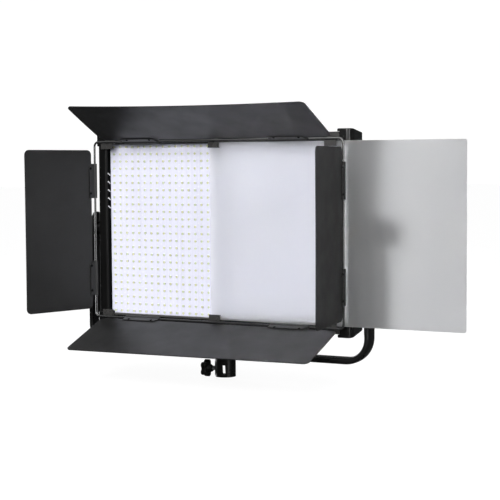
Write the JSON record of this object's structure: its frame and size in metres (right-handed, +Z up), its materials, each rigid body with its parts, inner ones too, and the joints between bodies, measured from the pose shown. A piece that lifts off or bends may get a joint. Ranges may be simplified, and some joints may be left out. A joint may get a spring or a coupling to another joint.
{
  "type": "led panel light",
  "caption": "Flat rectangular LED studio light with four folding barn doors on a wire frame, a sliding diffuser sheet and a tilting tube yoke with a stud receiver.",
  "frame": {"origin": "blind end of the stud bore under the middle of the yoke, where a light stand's stud seats", "axes": "the lit face looks along -Y, +Z is up, +X is the viewer's right; the tilt axis runs along X at Z 0.178 m"},
  "size_m": [0.5776, 0.1937, 0.3685],
  "materials": {
    "case_paint": "satin",
    "yoke_paint": "satin",
    "leaf_paint": "matte",
    "wire_paint": "satin",
    "black_plastic": "satin",
    "gloss_plastic": "gloss",
    "red_plastic": "gloss",
    "steel": "satin",
    "brass": "satin",
    "aluminium": "satin",
    "white_board": "matte",
    "green_board": "satin",
    "frosted_sheet": "matte"
  },
  "bodies": {
    "yoke": {"yoke_tube": "yoke_paint", "receiver": "case_paint", "receiver_washer": "steel", "receiver_nut": "steel"},
    "stud_clamp": {"clamp_knob": "black_plastic", "clamp_screw": "steel"},
    "head": {"bezel_top": "case_paint", "bezel_bottom": "case_paint", "bezel_left": "case_paint", "bezel_right": "case_paint", "corner_guard_top_left": "black_plastic", "corner_guard_top_right": "black_plastic", "corner_guard_bottom_left": "black_plastic", "corner_guard_bottom_right": "black_plastic", "rear_shell": "case_paint", "led_board": "white_board", "heat_plate": "aluminium", "driver_board": "green_board", "board_spacer_left": "aluminium", "board_spacer_right": "aluminium", "control_panel": "black_plastic", "display_window": "gloss_plastic", "switch_frame": "black_plastic", "dc_socket": "black_plastic", "pivot_boss_left": "black_plastic", "pivot_boss_right": "black_plastic", "brass_screw_left": "brass", "brass_screw_right": "brass", "wire_frame": "wire_paint", "sheet_clip_top_left": "case_paint", "sheet_clip_top_middle": "case_paint", "sheet_clip_top_right": "case_paint", "sheet_clip_bottom_left": "case_paint", "sheet_clip_bottom_middle": "case_paint", "sheet_clip_bottom_right": "case_paint"},
    "tilt_knob_left": {"tilt_knob_left": "black_plastic", "tilt_screw_left": "steel", "tilt_washer_left": "steel"},
    "tilt_knob_right": {"tilt_knob_right": "black_plastic", "tilt_screw_right": "steel", "tilt_washer_right": "steel"},
    "diffuser": {"diffuser_sheet": "frosted_sheet"},
    "brightness_control": {"brightness_dial": "black_plastic", "brightness_dial_shaft": "steel"},
    "colour_control": {"colour_dial": "black_plastic", "colour_dial_shaft": "steel"},
    "power_switch": {"power_rocker": "red_plastic"},
    "top_leaf": {"leaf_top": "leaf_paint", "hinge_bracket_top_1": "leaf_paint", "hinge_bracket_top_2": "leaf_paint"},
    "bottom_leaf": {"leaf_bottom": "leaf_paint", "hinge_bracket_bottom_1": "leaf_paint", "hinge_bracket_bottom_2": "leaf_paint"},
    "left_leaf": {"leaf_left": "leaf_paint", "hinge_bracket_left_1": "leaf_paint", "hinge_bracket_left_2": "leaf_paint"},
    "right_leaf": {"leaf_right": "leaf_paint", "hinge_bracket_right_1": "leaf_paint", "hinge_bracket_right_2": "leaf_paint"}
  },
  "joints": [
    {"name": "head_tilt", "type": "hinge", "parent": "yoke", "child": "head", "pos_m": [0, 0, 0.178], "axis": [-1, 0, 0], "range_deg": [-6, 90]},
    {"name": "top_leaf_hinge", "type": "hinge", "parent": "head", "child": "top_leaf", "pos_m": [0, -0.031, 0.3], "axis": [-1, 0, 0], "range_deg": [-100.5, 80]},
    {"name": "bottom_leaf_hinge", "type": "hinge", "parent": "head", "child": "bottom_leaf", "pos_m": [0, -0.031, 0.056], "axis": [1, 0, 0], "range_deg": [-95, 80]},
    {"name": "left_leaf_hinge", "type": "hinge", "parent": "head", "child": "left_leaf", "pos_m": [-0.1885, -0.031, 0.178], "axis": [0, 0, -1], "range_deg": [-109, 68]},
    {"name": "right_leaf_hinge", "type": "hinge", "parent": "head", "child": "right_leaf", "pos_m": [0.1885, -0.031, 0.178], "axis": [0, 0, 1], "range_deg": [-96, 81]},
    {"name": "diffuser_slide", "type": "slide", "parent": "head", "child": "diffuser", "axis": [1, 0, 0], "range_m": [-0.172, 0.16]},
    {"name": "stud_clamp_turn", "type": "hinge", "parent": "yoke", "child": "stud_clamp", "pos_m": [-0.0294, 0, -0.0115], "axis": [1, 0, 0], "range_deg": [-90, 630]},
    {"name": "tilt_knob_left_turn", "type": "hinge", "parent": "head", "child": "tilt_knob_left", "pos_m": [-0.2096, 0, 0.178], "axis": [-1, 0, 0], "range_deg": [-90, 450]},
    {"name": "tilt_knob_right_turn", "type": "hinge", "parent": "head", "child": "tilt_knob_right", "pos_m": [0.2096, 0, 0.178], "axis": [1, 0, 0], "range_deg": [-90, 450]},
    {"name": "brightness_turn", "type": "hinge", "parent": "head", "child": "brightness_control", "pos_m": [-0.066, 0.0333, 0.116], "axis": [0, 1, 0], "continuous": true},
    {"name": "colour_turn", "type": "hinge", "parent": "head", "child": "colour_control", "pos_m": [-0.034, 0.0333, 0.116], "axis": [0, 1, 0], "continuous": true},
    {"name": "power_switch_rock", "type": "hinge", "parent": "head", "child": "power_switch", "pos_m": [0.062, 0.0333, 0.131], "axis": [1, 0, 0], "range_deg": [0, 16]}
  ]
}
